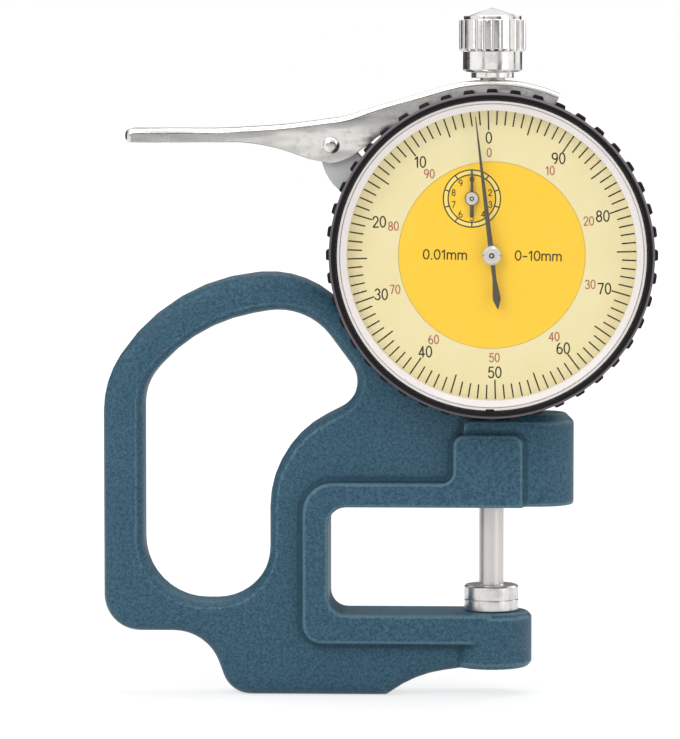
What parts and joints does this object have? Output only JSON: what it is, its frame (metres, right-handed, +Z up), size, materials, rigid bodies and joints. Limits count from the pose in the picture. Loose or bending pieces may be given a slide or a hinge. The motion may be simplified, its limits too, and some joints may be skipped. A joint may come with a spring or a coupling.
{
  "type": "dial thickness gauge",
  "caption": "Hand-held dial thickness gauge: cast frame with grip loop and throat, sliding spindle over an anvil, thumb lever, fluted cap and turning bezel.",
  "frame": {"origin": "centre of the anvil's measuring face, on the spindle axis", "axes": "+Z up along the spindle, dial faces -Y, grip on the -X side"},
  "size_m": [0.1021, 0.0228, 0.127],
  "materials": {
    "frame_paint": "teal blue wrinkle enamel on cast iron",
    "ground_steel": "ground satin",
    "black_steel": "black oxide",
    "brass": "drawn",
    "case_silver": "satin silver",
    "nickel": "polished nickel plate",
    "spring_steel": "drawn wire",
    "dial_yellow": "matt print",
    "dial_cream": "matt print",
    "bezel_black": "semi-gloss moulded",
    "crystal_ring": "glossy off-white",
    "crystal": "clear",
    "pointer_dark": "dark lacquer with bright boss"
  },
  "bodies": {
    "base": {"frame": "frame_paint", "anvil": "ground_steel", "stem": "ground_steel", "stem_screw": "black_steel", "lower_bush": "brass", "case": "case_silver", "upper_bush": "brass", "back_cover": "case_silver", "cover_screws": "nickel", "base_plate": "brass", "plate_screws": "nickel", "pillars": "brass", "front_plate": "brass", "bridge_screws": "nickel", "rear_bridge": "brass", "hairspring": "spring_steel", "hairspring_stud": "brass", "inner_dial": "dial_yellow", "guide_rail": "brass", "guide_screws": "nickel", "spring_post": "ground_steel", "tension_spring": "spring_steel", "lever_screw": "nickel"},
    "spindle": {"spindle": "ground_steel", "contact_point": "ground_steel", "lift_cap": "nickel", "guide_pin": "ground_steel", "spring_pin": "ground_steel"},
    "lever": {"lift_lever": "nickel"},
    "bezel": {"bezel": "bezel_black", "bezel_wire": "spring_steel", "crystal_ring": "crystal_ring", "crystal": "crystal", "scale_ring": "dial_cream"},
    "rack_arbor": {"rack_pinion": "ground_steel", "transfer_wheel": "brass"},
    "main_arbor": {"centre_pinion": "ground_steel", "main_pointer": "pointer_dark"},
    "counter_arbor": {"counter_wheel": "brass", "counter_pointer": "pointer_dark"}
  },
  "joints": [
    {"name": "spindle_slide", "type": "slide", "parent": "base", "child": "spindle", "axis": [0, 0, 1], "range_m": [0, 0.01], "stiffness_N_per_m": 60, "springref_m": -0.02, "deforming": ["tension_spring"]},
    {"name": "lever_swing", "type": "hinge", "parent": "base", "child": "lever", "pos_m": [-0.0295, 0, 0.08406], "axis": [0, -1, 0], "range_deg": [0, 18]},
    {"name": "bezel_turn", "type": "hinge", "parent": "base", "child": "bezel", "pos_m": [0, 0, 0.0642], "axis": [0, -1, 0], "continuous": true},
    {"name": "rack_arbor_spin", "type": "hinge", "parent": "base", "child": "rack_arbor", "pos_m": [0.00364, 0, 0.05388], "axis": [0, 1, 0], "range_deg": [-4, 364]},
    {"name": "main_pointer_spin", "type": "hinge", "parent": "base", "child": "main_arbor", "pos_m": [0, 0, 0.0642], "axis": [0, -1, 0], "range_deg": [-36, 3636]},
    {"name": "counter_spin", "type": "hinge", "parent": "base", "child": "counter_arbor", "pos_m": [-0.00364, 0, 0.07452], "axis": [0, 1, 0], "range_deg": [-4, 364]}
  ],
  "couplings": [
    {"joint": "lever_swing", "follows": "spindle_slide", "rad_per_m": 31.2},
    {"joint": "rack_arbor_spin", "follows": "spindle_slide", "rad_per_m": 628.32},
    {"joint": "main_pointer_spin", "follows": "spindle_slide", "rad_per_m": 6283.2},
    {"joint": "counter_spin", "follows": "spindle_slide", "rad_per_m": 628.32}
  ]
}
